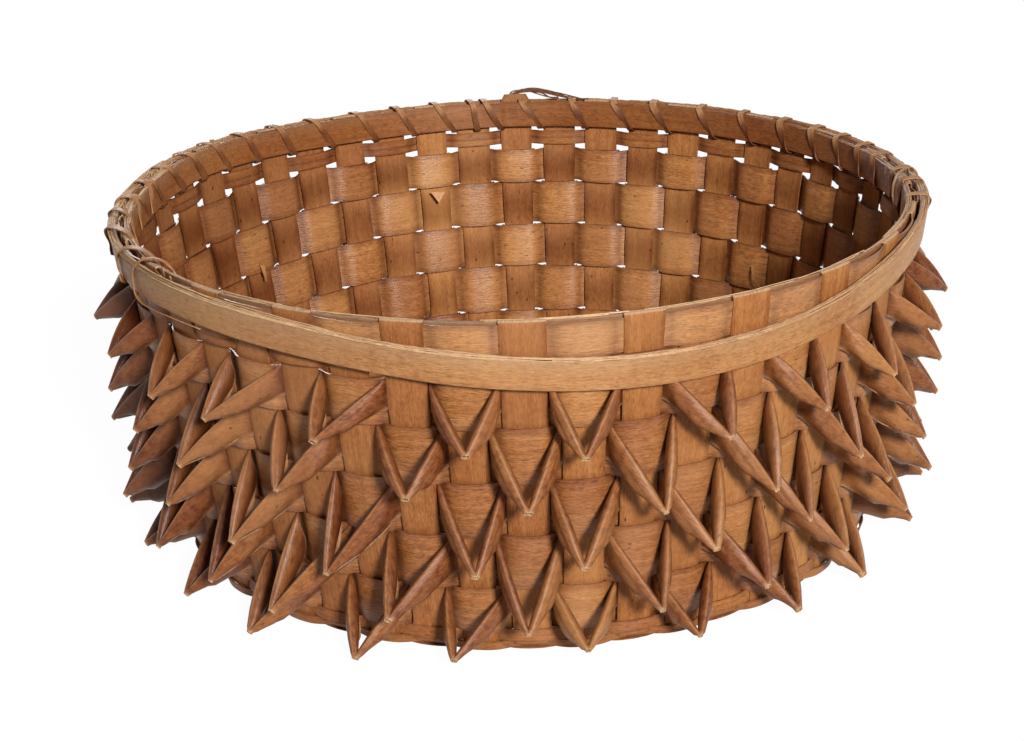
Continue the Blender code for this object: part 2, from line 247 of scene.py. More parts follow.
def ash(name, deep, mid, pale, roughness=0.45, specks=0.5, edge=0.5, fibre=(0.62, 0.42, 0.25), mottled=0.3,
        pale_share=0.40, grain=0.35, satin=0.14, lines=0.60):
    """Pounded ash: fine grain and streaks along the splint, blotches, specks, and darker edges that are partly painted
    shade.
    """
    material = bpy.data.materials.new(name)
    material.use_nodes = True
    tree = material.node_tree
    shader = tree.nodes["Principled BSDF"]
    strip = node(tree, "ShaderNodeUVMap", uv_map="strip").outputs[0]
    body = node(tree, "ShaderNodeTexCoord").outputs["Object"]

    sway = node(tree, "ShaderNodeTexNoise", ("Vector", body), ("Scale", 70.0), ("Detail", 2.0)).outputs["Color"]
    strip = node(tree, "ShaderNodeVectorMath", (0, sway), (1, (0.0, 0.0022, 0.0)), (2, strip),
                 operation="MULTIPLY_ADD").outputs[0]

    def stretched(along, across):
        return node(tree, "ShaderNodeMapping", ("Vector", strip), ("Scale", (along, across, 1.0))).outputs[0]

    def noise(vector, scale, detail, rough=0.55):
        made = node(tree, "ShaderNodeTexNoise", ("Vector", vector), ("Scale", scale), ("Detail", detail),
                    ("Roughness", rough))
        return made.outputs["Fac"]

    def ranged(value, low, high, to_low=0.0, to_high=1.0):
        made = node(tree, "ShaderNodeMapRange", ("Value", value), ("From Min", low), ("From Max", high),
                    ("To Min", to_low), ("To Max", to_high))
        return made.outputs[0]

    def mixed(share, first, second, kind="MIX"):
        made = tree.nodes.new("ShaderNodeMix")
        made.data_type = "RGBA"
        made.blend_type = kind
        for socket, value in ((0, share), (6, first), (7, second)):
            if isinstance(value, bpy.types.NodeSocket):
                tree.links.new(value, made.inputs[socket])
            else:
                made.inputs[socket].default_value = value if socket == 0 else (*value, 1.0)
        return made.outputs[2]

    def attribute(label):
        return node(tree, "ShaderNodeAttribute", attribute_name=label).outputs["Fac"]

    fine = noise(stretched(420.0, 2700.0), 1.0, 4.0, 0.65)
    streak = noise(stretched(34.0, 480.0), 1.0, 3.0)
    line = noise(stretched(230.0, 1350.0), 1.0, 2.0)
    crack = math_node(tree, "SUBTRACT", noise(stretched(120.0, 900.0), 1.0, 2.0), 0.5)
    crack = math_node(tree, "ABSOLUTE", crack, 0.0)
    mottle = noise(body, 300.0, 3.0, 0.6)
    blotch = noise(body, 38.0, 3.0)
    cloud = noise(body, 11.0, 2.0)
    colour = mixed(ranged(fine, 0.38, 0.62), deep, mid)
    colour = mixed(ranged(streak, 0.48, 0.74, 0.0, pale_share), colour, pale)
    dark = tuple(0.50 * value for value in deep)
    colour = mixed(ranged(streak, 0.30, 0.46, 0.25, 0.0), colour, dark)
    colour = mixed(ranged(line, 0.30, 0.47, lines, 0.0), colour, dark)
    colour = mixed(ranged(crack, 0.0, 0.030, grain, 0.0), colour, dark)
    colour = mixed(ranged(mottle, 0.47, 0.66, 0.0, mottled), colour, (0.52, 0.30, 0.20), "MULTIPLY")
    colour = mixed(ranged(blotch, 0.42, 0.72, 0.0, 0.55), colour, (0.80, 0.68, 0.60), "MULTIPLY")
    colour = mixed(ranged(cloud, 0.45, 0.70, 0.0, 0.35), colour, pale)
    # Darker along the splint's edges: partly its own colour, partly painted shade in the gaps beside it.
    rim = math_node(tree, "ABSOLUTE", attribute("across"), 0.0)
    rim = math_node(tree, "MULTIPLY", ranged(rim, 0.72, 1.0), ranged(blotch, 0.35, 0.6, 0.4, 1.0))
    colour = mixed(math_node(tree, "MULTIPLY", rim, edge), colour, (0.50, 0.36, 0.28), "MULTIPLY")
    cells = node(tree, "ShaderNodeTexVoronoi", ("Vector", stretched(260.0, 560.0)), ("Scale", 1.0))
    dot = math_node(tree, "LESS_THAN", cells.outputs["Distance"], 0.24)
    red = node(tree, "ShaderNodeSeparateColor", (0, cells.outputs["Color"])).outputs[0]
    dot = math_node(tree, "MULTIPLY", dot, math_node(tree, "GREATER_THAN", red, 0.945))
    dot = math_node(tree, "MULTIPLY", dot, ranged(cloud, 0.42, 0.60, 0.25, specks))
    colour = mixed(dot, colour, (0.055, 0.022, 0.010))
    tone = attribute("tone")
    shade = node(tree, "ShaderNodeHueSaturation", ("Value", ranged(tone, -1.0, 1.0, 0.84, 1.15)),
                 ("Hue", ranged(tone, -1.0, 1.0, 0.494, 0.504)), ("Color", colour))
    # Painted shade in crevices, between parts and on the flanks, with some dirt, darkens the colour here.
    dirt_and_shade_mask = math_node(tree, "MULTIPLY", attribute("dirt_and_shade"), ranged(blotch, 0.3, 0.7, 0.75, 1.0))
    shaded = mixed(dirt_and_shade_mask, shade.outputs[0], (0.36, 0.24, 0.17), "MULTIPLY")
    # Lighter towards the fibre colour: wear at cut ends and frayed edges, and painted highlights along the limbs'
    # creases and where the lashing goes over the rim.
    worn = attribute("worn")
    fuzz = noise(stretched(230.0, 2600.0), 1.0, 4.0, 0.7)
    colour = mixed(math_node(tree, "MULTIPLY", worn, ranged(fuzz, 0.38, 0.56, 0.25, 1.0)), shaded, fibre)
    tree.links.new(colour, shader.inputs["Base Color"])
    gloss = ranged(fine, 0.3, 0.7, roughness - 0.05, roughness + 0.08)
    gloss = math_node(tree, "ADD", gloss, math_node(tree, "MULTIPLY", worn, 0.25))
    tree.links.new(gloss, shader.inputs["Roughness"])
    shader.inputs["Specular IOR Level"].default_value = satin
    shader.inputs["Anisotropic"].default_value = 0.70
    shader.inputs["Anisotropic Rotation"].default_value = 0.25
    grain_way = node(tree, "ShaderNodeTangent", direction_type="UV_MAP", uv_map="strip").outputs[0]
    tree.links.new(grain_way, shader.inputs["Tangent"])
    relief = math_node(tree, "ADD", math_node(tree, "MULTIPLY", fine, 0.6), math_node(tree, "MULTIPLY", line, 0.9))
    relief = math_node(tree, "ADD", relief, math_node(tree, "MULTIPLY", math_node(tree, "MULTIPLY", worn, fuzz), 2.5))
    bump = node(tree, "ShaderNodeBump", ("Height", relief), ("Strength", 0.55), ("Distance", 0.0004))
    tree.links.new(bump.outputs[0], shader.inputs["Normal"])
    return material


stake_ash = ash("stake_ash", (0.33, 0.120, 0.035), (0.48, 0.198, 0.063), (0.58, 0.29, 0.110), 0.44, 0.9, 0.35,
                grain=0.15, lines=0.40)

seam_level = np.array((120.7, 102.2, 79.3, 56.5, 32.6, 9.5)) * MM
seam_tilt = np.array((0.0, 1.2, 2.0, 2.8, 3.0, 0.0)) * MM
stake_chance = random.Random(11)
stake_drift = [stake_chance.uniform(-0.5, 0.5) * MM for _ in range(48)]
stake_extra = [stake_chance.uniform(-0.5, 0.4) * MM for _ in range(48)]


def stake_half(stake, radius):
    return (radius * STEP - 0.0058) / 2 + stake_extra[stake % 48]


def stake_middle(stake, z):
    """Angle of a stake's middle, which drifts on its way up."""
    return stake * STEP + stake_drift[stake % 48] * up_wall(z) / MEAN_RADIUS


def row_share(z):
    """Rows counted down from the top edge of the first wide row."""
    return np.interp(-z, -seam_level, np.arange(6.0))


def stake_sway(stake, z):
    """A stake gives a little, away from the weaver that presses on it."""
    wave = np.cos(math.pi * (row_share(z) - 0.5)) * np.where((row_share(z) > 0) & (row_share(z) < 5), 1.0, 0.0)
    return 0.35 * MM * wave * (1 if stake % 2 == 0 else -1)


def smoothed(points, rounds=3):
    """Cuts the corners of a line, and keeps its ends."""
    points = np.asarray(points, float)
    for _ in range(rounds):
        cut = np.empty((2 * len(points), points.shape[1]))
        cut[0], cut[-1] = points[0], points[-1]
        cut[1:-1:2] = 0.75 * points[:-1] + 0.25 * points[1:]
        cut[2:-1:2] = 0.25 * points[:-1] + 0.75 * points[1:]
        points = cut
    return points


SPRUNG_STAKE = 24  # its fold at the back has opened, and its end stands up
FOLD_TOP = 144.0 * MM
inward_fold = [(-1.9 * MM, 0.1450), (-1.2 * MM, 0.1457), (-0.1 * MM, 0.1455), (0.0, FOLD_TOP)]
sprung_fold = [(-0.6 * MM, 0.1490), (-0.5 * MM, 0.1478), (-0.2 * MM, 0.1462), (0.0, FOLD_TOP)]
turn_at_foot = [(0.1572, 0.0060), (0.1552, 0.0012), (ARM_END, UNDERSIDE)]


def add_stake(sheets, stake):
    """A stake from its end at the rim down the wall to the arm of its splint."""
    folded = stake % 2 == 0
    sprung = stake == SPRUNG_STAKE
    z = np.linspace(0.1434 if folded else 0.1428, 0.014, 66)
    offset = stake_sway(stake, z)
    middle = stake_middle(stake, z)
    radius = wall_radius(z) + offset + out_of_round(middle)
    line = np.stack((radius, z), -1)
    if folded:
        top = smoothed(sprung_fold if sprung else inward_fold, 2)
        top[:, 0] += radius[0]
        line = np.concatenate((top, line))
        middle = np.concatenate((np.full(len(top), middle[0]), middle))
    foot = smoothed([line[-1], *turn_at_foot], 3)[1:]
    line = np.concatenate((line, foot))
    middle = np.concatenate((middle, np.full(len(foot), middle[-1])))
    gone = np.concatenate(([0.0], np.cumsum(np.linalg.norm(np.diff(line, axis=0), axis=1))))
    share = np.linspace(-1, 1, 7)
    half = stake_half(stake, line[:, 0])[:, None] + 0.12 * MM * np.sin(gone * 170 + stake)[:, None]
    if sprung:
        narrowed = np.clip(1.0 - 0.45 * (line[:, 1:2] - FOLD_TOP) / 0.0075, 0.5, 1)
    else:
        narrowed = 1.0
    angle = middle[:, None] + share * half * narrowed / line[:, 0:1]
    sink = 0.18 * MM * share ** 2
    grid = around(angle, line[:, 0:1] - sink, line[:, 1:2] + lift(angle, line[:, 1:2]))
    worn = np.zeros(angle.shape)
    if folded:
        worn += np.clip((line[:, 1:2] - 0.1449) / 0.0004, 0, 1) * (0.2 if sprung else 0.9)
    # The tone varies at random from stake to stake, and is lower on the left side as painted shade.
    tone = stake_chance.uniform(-0.55, 0.75) - 0.9 * bell(stake * STEP, 4.75, 0.65)
    # Painted shade where the stake runs under a weaver, along its edges, and on the left side.
    pressed = np.cos(math.pi * (row_share(line[:, 1]) - 0.5)) * (1 if folded else -1)
    dirt_and_shade = np.clip(-pressed, 0, 1)[:, None] * 0.6 + 0.35 * np.abs(share) ** 6
    dirt_and_shade = dirt_and_shade + 0.34 * bell(stake * STEP, 4.30, 0.60)
    sheets.add(grid, gone[:, None] + stake * 0.31, share * half, share, tone, worn, np.clip(dirt_and_shade, 0, 1))


def base_height(splint, radius):
    """Height of a splint of the base, which rises to its own layer at the crossing."""
    layer = 2 * splint if splint < 6 else 2 * (12 - splint) - 1
    low = np.clip((radius - CROSSING) / (ARM_END - CROSSING), 0.0, 1.0)
    return UNDERSIDE * low + (3.75 + layer) * MM * (1 - low)


for splint in range(12):
    sheets = Sheets()
    for end in (splint, splint + 12):
        for stake in (2 * end, 2 * end + 1):
            add_stake(sheets, stake)
    arm = np.linspace(CROSSING, ARM_END + 0.5 * MM, 24)
    reach = np.concatenate((-arm[::-1], np.linspace(-0.026, 0.026, 7), arm))
    far = np.abs(reach)
    wide = np.clip((far - CROSSING) / (ARM_END - CROSSING), 0, 1)
    half = ((ARM_END * STEP - 2.9 * MM) * wide + 3.0 * MM * (1 - wide))[:, None]
    share = np.linspace(-1, 1, 9)
    along = np.array((math.sin((2 * splint + 0.5) * STEP), -math.cos((2 * splint + 0.5) * STEP)))
    side = np.array((-along[1], along[0]))
    flat = reach[:, None, None] * along + (share * half)[:, :, None] * side
    height = np.broadcast_to(base_height(splint, far)[:, None], flat.shape[:2])
    sheets.add(np.concatenate((flat, height[:, :, None]), -1), reach[:, None] + splint, share * half, share, 0.1)
    name = f"stake_splint_{splint + 1:02d}"
    sheets.piece(f"ash_{name}", stake_ash, 0.7 * MM, "stake_ash", name)


# ---------------------------------------------------------------- wide weavers
# Five wide splints go round between the stakes, one row each. They are smooth
# and satiny, and belly out a little between the stakes that they pass.
weaver_ash = ash("weaver_ash", (0.33, 0.120, 0.035), (0.55, 0.230, 0.070), (0.70, 0.37, 0.15), 0.31, 0.6, 0.45,
                 satin=0.32, lines=0.7, grain=0.5)


def seam(angle, row):
    """Height of the line between two rows, a little lower at the front."""
    return seam_level[row] - seam_tilt[row] * np.cos(angle) + 0.35 * MM * ripple(angle, 20 + row, (4, 9, 15, 24))


def at_front(angle):
    """1 where the rows are beaten close together, at the front, and 0 behind."""
    return np.clip(2.5 * np.cos(angle), 0, 1)


def weave(angle, parity, firm=1.6):
    """From 1 where a weaver passes outside a stake to -1 where it passes inside."""
    return np.tanh(firm * np.cos(24 * angle + math.pi * parity)) / math.tanh(firm)


def panel_tones(angle, seed):
    """A tone for each panel between two stakes."""
    chance = random.Random(seed)
    tones = np.array([chance.uniform(-0.9, 0.9) for _ in range(48)])
    return tones[np.round(angle / STEP).astype(int) % 48]


def add_weaver(sheets, parity, top, bottom, middle, swing, seed, cup=0.35, pinch=0.5, samples=14, across=7, worn=0.0):
    """A closed band between the heights that top and bottom give for each angle."""
    angle = math.pi + STEP * parity + np.linspace(0, 2 * math.pi, 48 * samples + 1)
    wave = weave(angle, parity)
    share = np.linspace(-1, 1, across)
    high, low = top(angle), bottom(angle)
    squeeze = pinch * MM * bell(wave, 0, 0.45)
    half = ((high - low) / 2 - squeeze)[:, None]
    z = ((high + low) / 2)[:, None] + half * share
    offset = (middle + swing * wave)[:, None] * MM - cup * MM * share ** 2 * wave[:, None]
    grid = on_wall(angle[:, None], z, offset)
    grid[-1] = grid[0]
    turn = angle % (2 * math.pi)
    # The tone varies from panel to panel, and is lower on the left side as painted shade. Painted shade where the
    # weaver passes between the stakes, along its upper and lower edges, and on the left side.
    tone = (panel_tones(angle, seed) - 1.2 * bell(turn, 4.75, 0.65))[:, None]
    dirt_and_shade = (0.55 * bell(wave, 0, 0.5) + 0.34 * bell(turn, 4.30, 0.60))[:, None] + 0.3 * np.abs(share) ** 8
    sheets.add(grid, angle[:, None] * 0.17 + seed * 0.37, half * share, share, tone, worn, np.clip(dirt_and_shade, 0, 1))


for row in range(5):
    sheets = Sheets()
    add_weaver(
        sheets, (row + 1) % 2,
        lambda angle, row=row: seam(angle, row) + (0.55 * at_front(angle) * (row > 0) - 0.15) * MM,
        lambda angle, row=row: seam(angle, row + 1) + (0.20 - 0.45 * at_front(angle)) * MM,
        -0.5, 2.8, 40 + row, pinch=0.25,
    )
    name = f"wide_weaver_{row + 1}"
    sheets.piece(f"ash_{name}", weaver_ash, 0.6 * MM, "weaver_ash", name)


# ---------------------------------------------------------------- weavers' loose ends
# The cut corners of two weavers' ends and a torn sliver of a third stand off
# the inside of the wall. They are of the same splint as the weavers.
sheets = Sheets()
for azimuth, z, wide, high in ((194.8, 101.8, 8.0, 5.5), (233.0, 84.5, 3.6, 8.0)):
    down_share, across = np.linspace(0, 1, 5)[:, None], np.linspace(-1, 1, 5)
    angle = math.radians(azimuth) + across * (wide / 2 / 172) * (1 - 0.97 * down_share)
    grid = on_wall(angle, (z - high * down_share + 0.3 * across) * MM, (-4.9 - 0.8 * down_share) * MM)
    sheets.add(grid, across * wide / 2 * MM, down_share * high * MM, across, 0.7, 0.25 * down_share)
sliver = np.linspace(0, 1, 12)[:, None]
side = np.array((-1.0, 1.0))
angle = np.radians(132.8 - 3.4 * sliver) + side * 0.0045 * (1 - 0.7 * sliver)
grid = on_wall(angle, (71.0 - 11.0 * sliver) * MM, (-4.2 - 2.4 * np.sin(math.pi * sliver)) * MM)
sheets.add(grid, sliver * 0.011, side * MM, side, 0.6, 0.2)
sheets.piece("ash_weaver_ends", weaver_ash, 0.5 * MM, "weaver_ash")


# ---------------------------------------------------------------- curled points
# A second splint lies over each wide row. It leaves the edge of one stake
# flat, is rolled over along its upper edge on its way out to a point over the
# next stake, and opens again on its way back.
curl_ash = ash("curl_ash", (0.195, 0.060, 0.017), (0.335, 0.120, 0.037), (0.60, 0.29, 0.11), 0.34, 0.7, 0.25,
               fibre=(0.74, 0.47, 0.25), mottled=0.75, pale_share=0.16, grain=0.20, satin=0.24)
FLAP_ROWS, TUBE_ROWS = 8, 23
CURL_ROWS = FLAP_ROWS + TUBE_ROWS
CREASE = 1.2  # angle round the rolled edge at which it is creased


def unit(vector):
    return vector / np.linalg.norm(vector)


def add_limb(top, bottom, tip, outside, plane, mouth, thick, cap, belly, tip_size):
    """Sections of a limb from its root, where it is flat, to the tip.

    The splint narrows from its root to the tip. Its upper edge is rolled over towards
    the inside of the point, and near the tip its lower edge is tucked in. The end is cut by
    the plane between both limbs and by the mouth.
    """
    share = np.concatenate((np.linspace(0, 0.93, 17), [0.972, 1.0]))
    way = unit(tip - top)
    down = unit((bottom - top) - way * np.dot(bottom - top, way))
    out = unit(np.cross(way, down))
    if np.dot(out, outside) < 0:
        out = -out
    length = np.linalg.norm(tip - (top + bottom) / 2)
    radii = np.interp(share, [0, 0.06, 0.2, 0.45, 0.75, 1], [0.3, 1.0, 1.8, 2.4, 2.1, 1.05]) * MM * thick
    radii[-2:] = tip_size * MM
    highs = np.radians(np.interp(share, [0, 0.06, 0.2, 0.4, 1], [95, 140, 205, 255, 275]) * cap)
    falls = np.interp(share, [0, 0.25, 0.6, 1], [1, 0.80, 0.48, 0])
    sheet, maps, ridge_highlights, limb_shade = [], [], [], []
    for t, radius, high, fall in zip(share, radii, highs, falls):
        wave = math.sin(math.pi * t)
        centre = top + (tip - top) * t + belly * wave + down * radius
        turn = np.concatenate((np.linspace(-0.25, 0.9, 6), (1.08, CREASE, 1.32), np.linspace(1.5, high, 14)))[:, None]
        tight = 1 - 0.055 * np.clip(turn - math.pi / 2, 0, None) + 0.16 * wave * np.exp(-np.abs(turn - CREASE) / 0.3)
        hung = np.linalg.norm(bottom - top) * fall + 2 * radius
        longer = 1 + (max(0.82 * hung / (2 * radius), 1) - 1) * min(t / 0.25, 1)
        drop = np.where(turn > math.pi / 2, (1 - np.sin(turn)) * longer, 1 - np.sin(turn)) - 1
        tube = centre + radius * tight * (out * np.cos(turn) + down * drop)
        under = np.linspace(-2.3, -0.25, FLAP_ROWS, endpoint=False)[:, None]
        tucked = centre + radius * 0.95 * (out * np.cos(under) - down * np.sin(under))
        free = np.linspace(1, 0, FLAP_ROWS, endpoint=False)[:, None]
        edge = top + (tip - top) * t + (bottom - top) * fall + belly * 0.5 * wave + down * 2 * radius * t
        bulge = (0.4 + 1.1 * wave) * MM * thick * np.sin(math.pi * free) * min(1, 5 * t)
        bulge -= 2.2 * MM * wave * np.clip((free - 0.5) / 0.5, 0, 1) ** 2
        hanging = tube[0] + (edge - tube[0]) * free + out * bulge
        tuck = np.clip((t - 0.60) / 0.33, 0, 1)
        spots = np.concatenate((hanging * (1 - tuck) + tucked * tuck, tube))
        steps = np.concatenate(([0.0], np.cumsum(np.linalg.norm(np.diff(spots, axis=0), axis=1))))
        turn = turn[:, 0]
        steps -= np.interp(CREASE, turn, steps[FLAP_ROWS:])
        sheet.append(spots)
        maps.append(np.stack((0.93 * t * length + 0.37 * steps, 0.93 * steps - 0.37 * t * length), -1))
        # A painted highlight along the crease of the rolled edge.
        ridge_highlights.append(np.concatenate((np.zeros(FLAP_ROWS), bell(turn, CREASE, 0.17) * min(1, 4 * t))))
        # Painted shade on the inner side of the roll, on the flap near its root, on the tucked lower edge, and at the
        # root.
        inner = 0.42 * np.clip((turn - 1.3) / 0.4, 0, 1) + 0.7 * np.clip((turn - 2.5) / 0.8, 0, 1)
        shaded = 0.25 * (1 - t) * (1 - tuck) + tuck * np.clip((free[:, 0] - 0.3) / 0.7, 0, 1)
        limb_shade.append(np.concatenate((shaded, inner)) + max(0, 1 - t / 0.10) * 0.7)
    sheet, maps, ridge_highlights, limb_shade = np.array(sheet), np.array(maps), np.array(ridge_highlights), np.clip(limb_shade, 0, 1)
    for point in range(CURL_ROWS):
        start = sheet[-2, point]
        to_plane = np.dot(tip - start, plane) / np.dot(way, plane)
        to_mouth = np.dot(tip - start, mouth) / np.dot(way, mouth)
        sheet[-1, point] = start + way * max(min(to_plane, to_mouth), 0.1 * MM)
    return sheet, maps, ridge_highlights, limb_shade


# How far the points of each row stand out and how high they end, in
# millimetres, and the azimuths in degrees and heights of those in front.
curl_reach = (21.5, 23.0, 25.0, 27.0, 26.5)
curl_tip = (97.0, 72.0, 47.5, 23.5, 8.0)
curl_spots = {
    (0, 45): (-25.0, 99.6), (0, 47): (-6.8, 98.1), (0, 43): (-41.5, 97.9), (0, 1): (6.6, 94.9), (0, 3): (24.2, 95.1),
    (0, 5): (38.8, 94.8), (1, 44): (-31.2, 74.5), (1, 46): (-14.1, 79.4), (1, 0): (0.0, 73.3), (1, 42): (-48.5, 71.1),
    (1, 2): (16.2, 68.0), (1, 4): (31.1, 66.9), (1, 6): (46.3, 66.2), (2, 45): (-25.6, 41.0), (2, 47): (-6.5, 46.1),
    (2, 43): (-39.8, 45.2), (2, 1): (6.3, 48.5), (2, 3): (22.8, 48.5), (2, 5): (36.9, 48.4), (2, 7): (52.9, 48.9),
    (3, 46): (-17.5, 26.0), (3, 0): (-0.5, 21.0), (3, 44): (-34.5, 18.6), (3, 2): (15.9, 26.2), (3, 4): (30.3, 26.1),
    (3, 6): (44.5, 26.5), (3, 40): (-59.5, 19.8), (4, 45): (-22.9, 4.3), (4, 47): (-9.9, 8.2), (4, 43): (-39.2, 3.9),
    (4, 1): (6.7, 11.7), (4, 3): (21.1, 10.6), (4, 5): (36.3, 8.5), (4, 7): (50.2, 7.4), (4, 41): (-52.8, 6.2),
}
for row in range(5):
    chance = random.Random(90 + row)
    limbs = {}
    for stake in range(row % 2, 48, 2):
        point = stake + 1
        lean, drop = chance.uniform(-1.3, 1.3) / 190, chance.uniform(-1.8, 1.8)
        usual = (math.degrees(point * STEP + lean), curl_tip[row] + drop)
        azimuth, level = curl_spots.get((row, point % 48), usual)
        level += 4.5 * bell(abs((azimuth + 180) % 360 - 180), 85, 20)
        angle, z_tip = math.radians(azimuth), (level + 0.8) * MM
        tip = on_wall(angle, z_tip, (curl_reach[row] - 0.8 + chance.uniform(-1.2, 1.0)) * MM)
        sides = []
        for root, side in ((stake, 1), (stake + 2, -1)):
            corners = []
            for line, gap in ((row, -0.35), (row + 1, 7.0)):
                z = seam(root * STEP, line) + gap * MM
                rim = stake_middle(root, z) + side * (stake_half(root, wall_radius(z)) + 1.1 * MM) / wall_radius(z)
                corners.append(on_wall(rim, z, 0.1 * MM + stake_sway(root, z)))
            sides.append(corners)
        tangent = np.array((math.cos(angle), math.sin(angle), 0.0))
        outward = np.array((math.sin(angle), -math.cos(angle), 0.0))
        tip_size = chance.uniform(0.6, 1.25)
        mouth = unit(unit(tip - sides[0][0]) + unit(tip - sides[1][0]) + outward)
        for (top, bottom), outside, root, key in (
            (sides[0], -tangent, stake, "right"), (sides[1], tangent, stake + 2, "left"),
        ):
            belly = outward * chance.uniform(0.2, 1.3) * MM
            belly[2] += chance.uniform(0.0, 1.1) * MM
            thick, cap = chance.uniform(0.85, 1.2), chance.uniform(0.88, 1.1)
            limb = add_limb(top, bottom, tip, outside, tangent, mouth, thick, cap, belly, tip_size)
            # The limbs on the left side are darker: painted shade.
            left_flank_shade = 0.9 * bell(stake * STEP, 4.85, 0.55)
            limbs[root % 48, key] = (*limb, chance.uniform(-0.6, 0.9) - left_flank_shade)
    sheets = Sheets()
    for stake in range(row % 2, 48, 2):
        left, left_map, left_ridge_highlight, left_limb_shade, left_tone = limbs[stake, "left"]
        right_limb, right_map, right_ridge_highlight, right_limb_shade, right_tone = limbs[stake, "right"]
        z = (left[0, :, 2] + right_limb[0, :, 2]) / 2
        z -= lift(stake * STEP, z)
        rows_share = np.linspace(-1, 1, CURL_ROWS)
        flats, flat_u = [], []
        half = stake_half(stake, wall_radius(z))
        for along, offset in ((-1.02, -0.75), (-0.9, -1.0), (-0.4, -1.05), (0.4, -1.05), (0.9, -1.0), (1.02, -0.75)):
            angle = stake_middle(stake, z) + along * half / wall_radius(z)
            flats.append(on_wall(angle, z, offset * MM + stake_sway(stake, z)))
            flat_u.append(along * half + 0 * z)
        grid = np.concatenate((left[::-1], np.array(flats), right_limb))
        u_left = -0.009 - left_map[::-1, :, 0]
        u_right = 0.009 + right_map[:, :, 0]
        u = np.concatenate((u_left, np.array(flat_u), u_right)) + stake * 0.173 + row
        v = np.concatenate((left_map[::-1, :, 1], np.broadcast_to(z - z[-1], (6, CURL_ROWS)), right_map[:, :, 1]))
        between = np.linspace(left_tone, right_tone, 6)
        tone = np.concatenate((np.full(len(left), left_tone), between, np.full(len(left), right_tone)))
        middle_part = np.zeros((6, CURL_ROWS))
        # Painted highlights along the creases; the cut ends and free edges are lighter with wear.
        worn = 0.22 * np.concatenate((left_ridge_highlight[::-1], middle_part, right_ridge_highlight))
        # Painted shade on the limbs, on the flat part under the stake, and on the left side, a little on the right
        # side too.
        dirt_and_shade = np.concatenate((left_limb_shade[::-1], middle_part + 0.7, right_limb_shade))
        dirt_and_shade += 0.75 * bell(stake * STEP, 4.80, 0.50) + 0.18 * bell(stake * STEP, 1.45, 0.45)
        worn[1] = worn[-2] = 0.3
        worn[0] = worn[-1] = 1.0
        worn[:, 0] += 0.35
        worn[:, -1] += 0.35
        sheets.add(grid, u, v, rows_share, tone[:, None], np.clip(worn, 0, 1), dirt_and_shade)
    name = f"curled_overlay_{row + 1}"
    sheets.piece(f"ash_{name}", curl_ash, 0.5 * MM, "curl_ash", name, split=50)


# ---------------------------------------------------------------- narrow weavers
# Two narrow splints under the rim, and five rounds at the foot that turn in
# under the base, hold the wide rows and the stakes in place.
narrow_ash = ash("narrow_ash", (0.28, 0.098, 0.030), (0.43, 0.170, 0.054), (0.54, 0.26, 0.10), 0.44, 0.4, 0.5)
for index, (high, low) in enumerate(((129.9, 126.1), (126.4, 122.8))):
    sheets = Sheets()
    add_weaver(
        sheets, 0,
        lambda angle, high=high: high * MM + 0.25 * MM * ripple(angle, 61, (5, 11, 17)),
        lambda angle, low=low: low * MM + 0.25 * MM * ripple(angle, 61, (5, 11, 17)),
        -0.1 + 0.12 * index, 1.75, 60 + index, cup=0.1, pinch=0.0, across=4,
    )
    name = f"narrow_weaver_{index + 1}"
    sheets.piece(f"ash_{name}", narrow_ash, 0.6 * MM, "narrow_ash", name)


def add_foot_round(sheets, start, end, parity, swing, seed):
    """A closed narrow weaver between two points of the foot's profile."""
    angle = np.linspace(0, 2 * math.pi, 48 * 12 + 1)
    wave = weave(angle, parity, 1.2)
    share = np.linspace(0, 1, 4)
    start, end = np.array(start) * MM, np.array(end) * MM
    run = unit(end - start)
    out = np.array((-run[1], run[0]))
    if out[0] - out[1] < 0:
        out = -out
    spot = start + (end - start) * share[:, None]
    moved = spot[None] + (wave * swing * MM)[:, None, None] * out
    grid = around(angle[:, None], moved[:, :, 0], moved[:, :, 1])
    grid[-1] = grid[0]
    length = np.linalg.norm(end - start)
    sheets.add(grid, angle[:, None] * 0.155 + seed, share * length, share * 2 - 1, panel_tones(angle, seed)[:, None])


sheets = Sheets()
add_foot_round(sheets, (156.6, 10.1), (157.1, 5.2), 0, 1.35, 71)
add_foot_round(sheets, (157.0, 5.0), (155.8, 1.2), 1, 1.35, 72)
add_foot_round(sheets, (154.9, 1.25), (150.0, 1.25), 0, 0.9, 75)
sheets.piece("ash_foot_weaver_turn", narrow_ash, 0.6 * MM, "narrow_ash", "foot_weaver_turn")
sheets = Sheets()
add_foot_round(sheets, (149.4, 1.25), (146.1, 1.25), 0, 0.95, 73)
add_foot_round(sheets, (145.6, 1.25), (142.4, 1.25), 1, 0.95, 74)
sheets.piece("ash_foot_weaver_underside", narrow_ash, 0.5 * MM, "narrow_ash", "foot_weaver_underside")


# ---------------------------------------------------------------- base
# Narrow splints are woven round and round over and under the arms of the
# base, from the crossing to the foot.
def add_base_round(sheets, radius, width, parity, seed):
    angle = np.linspace(0, 2 * math.pi, 24 * 14 + 1)
    arm = angle / (2 * STEP) - 0.25
    heights = np.array([base_height(k % 12, radius) for k in range(25)])
    level = np.interp(arm % 24, np.arange(25), heights)
    wave = np.tanh(2.2 * np.cos(math.pi * (arm + parity))) / math.tanh(2.2)
    share = np.linspace(-1, 1, 4)
    z = (level + 0.75 * MM * wave)[:, None]
    grid = around(angle[:, None], radius + width / 2 * share + 0.2 * MM * ripple(angle, seed)[:, None], z + 0 * share)
    grid[-1] = grid[0]
    chance = random.Random(seed)
    sheets.add(grid, angle[:, None] * radius + seed, share * width / 2, share, chance.uniform(-0.6, 0.6))


